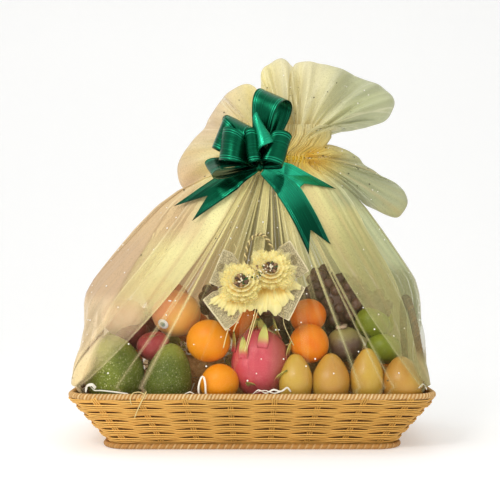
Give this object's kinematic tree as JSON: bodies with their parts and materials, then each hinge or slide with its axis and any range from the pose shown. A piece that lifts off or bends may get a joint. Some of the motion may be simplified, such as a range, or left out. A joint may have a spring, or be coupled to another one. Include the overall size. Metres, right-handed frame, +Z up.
{
  "type": "gourmet gift hamper",
  "caption": "Fruit gift hamper: shallow woven cane tray with end handles, net wrap gathered at the top over the fruit, satin ribbon bow and a net flower corsage.",
  "frame": {"origin": "middle of the tray's underside, on the surface it stands on", "axes": "+Z up, front with the bow towards -Y, long side along X"},
  "size_m": [0.6016, 0.3702, 0.6727],
  "materials": {
    "cane": "lacquered woven cane",
    "cane_rope": "twisted cane",
    "net": "sheer pale yellow net",
    "ribbon": "satin ribbon",
    "straw": "twisted straw",
    "net_leaf": "stiff open net",
    "net_flower": "gathered net",
    "seed": "dried seed heads"
  },
  "bodies": {
    "root": {"basket_tray": "cane", "rim_rope": "cane_rope", "foot_rope": "cane_rope", "handle_left": "cane_rope", "handle_right": "cane_rope", "net_wrap": "net", "neck_tie": "ribbon", "ribbon_bow": "ribbon", "corsage_backing": "straw", "twist_loop": "straw", "net_leaf_1": "net_leaf", "net_leaf_2": "net_leaf", "net_leaf_3": "net_leaf", "net_leaf_4": "net_leaf", "net_flower_left": "net_flower", "net_flower_right": "net_flower", "flower_centre_left": "seed", "flower_centre_right": "seed"}
  },
  "joints": []
}
